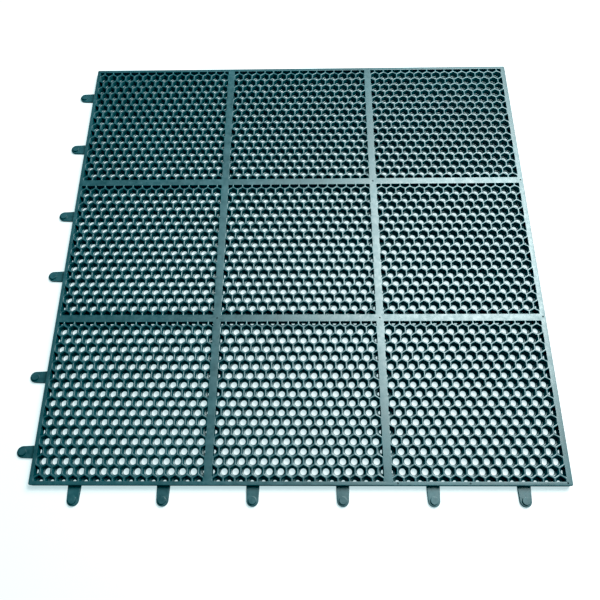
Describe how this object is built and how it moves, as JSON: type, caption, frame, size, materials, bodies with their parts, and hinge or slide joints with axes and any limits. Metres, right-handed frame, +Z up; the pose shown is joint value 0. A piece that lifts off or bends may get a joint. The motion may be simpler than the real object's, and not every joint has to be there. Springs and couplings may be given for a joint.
{
  "type": "rubber drainage mat",
  "caption": "Square interlocking rubber drainage mat: honeycomb cells with round drain holes, between flat ribs and a border, with snap tabs along two edges",
  "frame": {"origin": "on the underside, in the middle of the middle panel", "axes": "+Z up through the mat, +X along the front edge away from the tabbed left edge, +Y from the tabbed front edge to the back"},
  "size_m": [0.933, 0.9144, 0.0135],
  "materials": {
    "rubber": "teal moulded rubber, satin"
  },
  "bodies": {
    "root": {"mat_back_left": "rubber", "mat_back_centre": "rubber", "mat_back_right": "rubber", "mat_middle_left": "rubber", "mat_middle_centre": "rubber", "mat_middle_right": "rubber", "mat_front_left": "rubber", "mat_front_centre": "rubber", "mat_front_right": "rubber", "tab_left_1": "rubber", "tab_left_2": "rubber", "tab_left_3": "rubber", "tab_left_4": "rubber", "tab_left_5": "rubber", "tab_left_6": "rubber", "tab_front_1": "rubber", "tab_front_2": "rubber", "tab_front_3": "rubber", "tab_front_4": "rubber", "tab_front_5": "rubber", "tab_front_6": "rubber"}
  },
  "joints": []
}
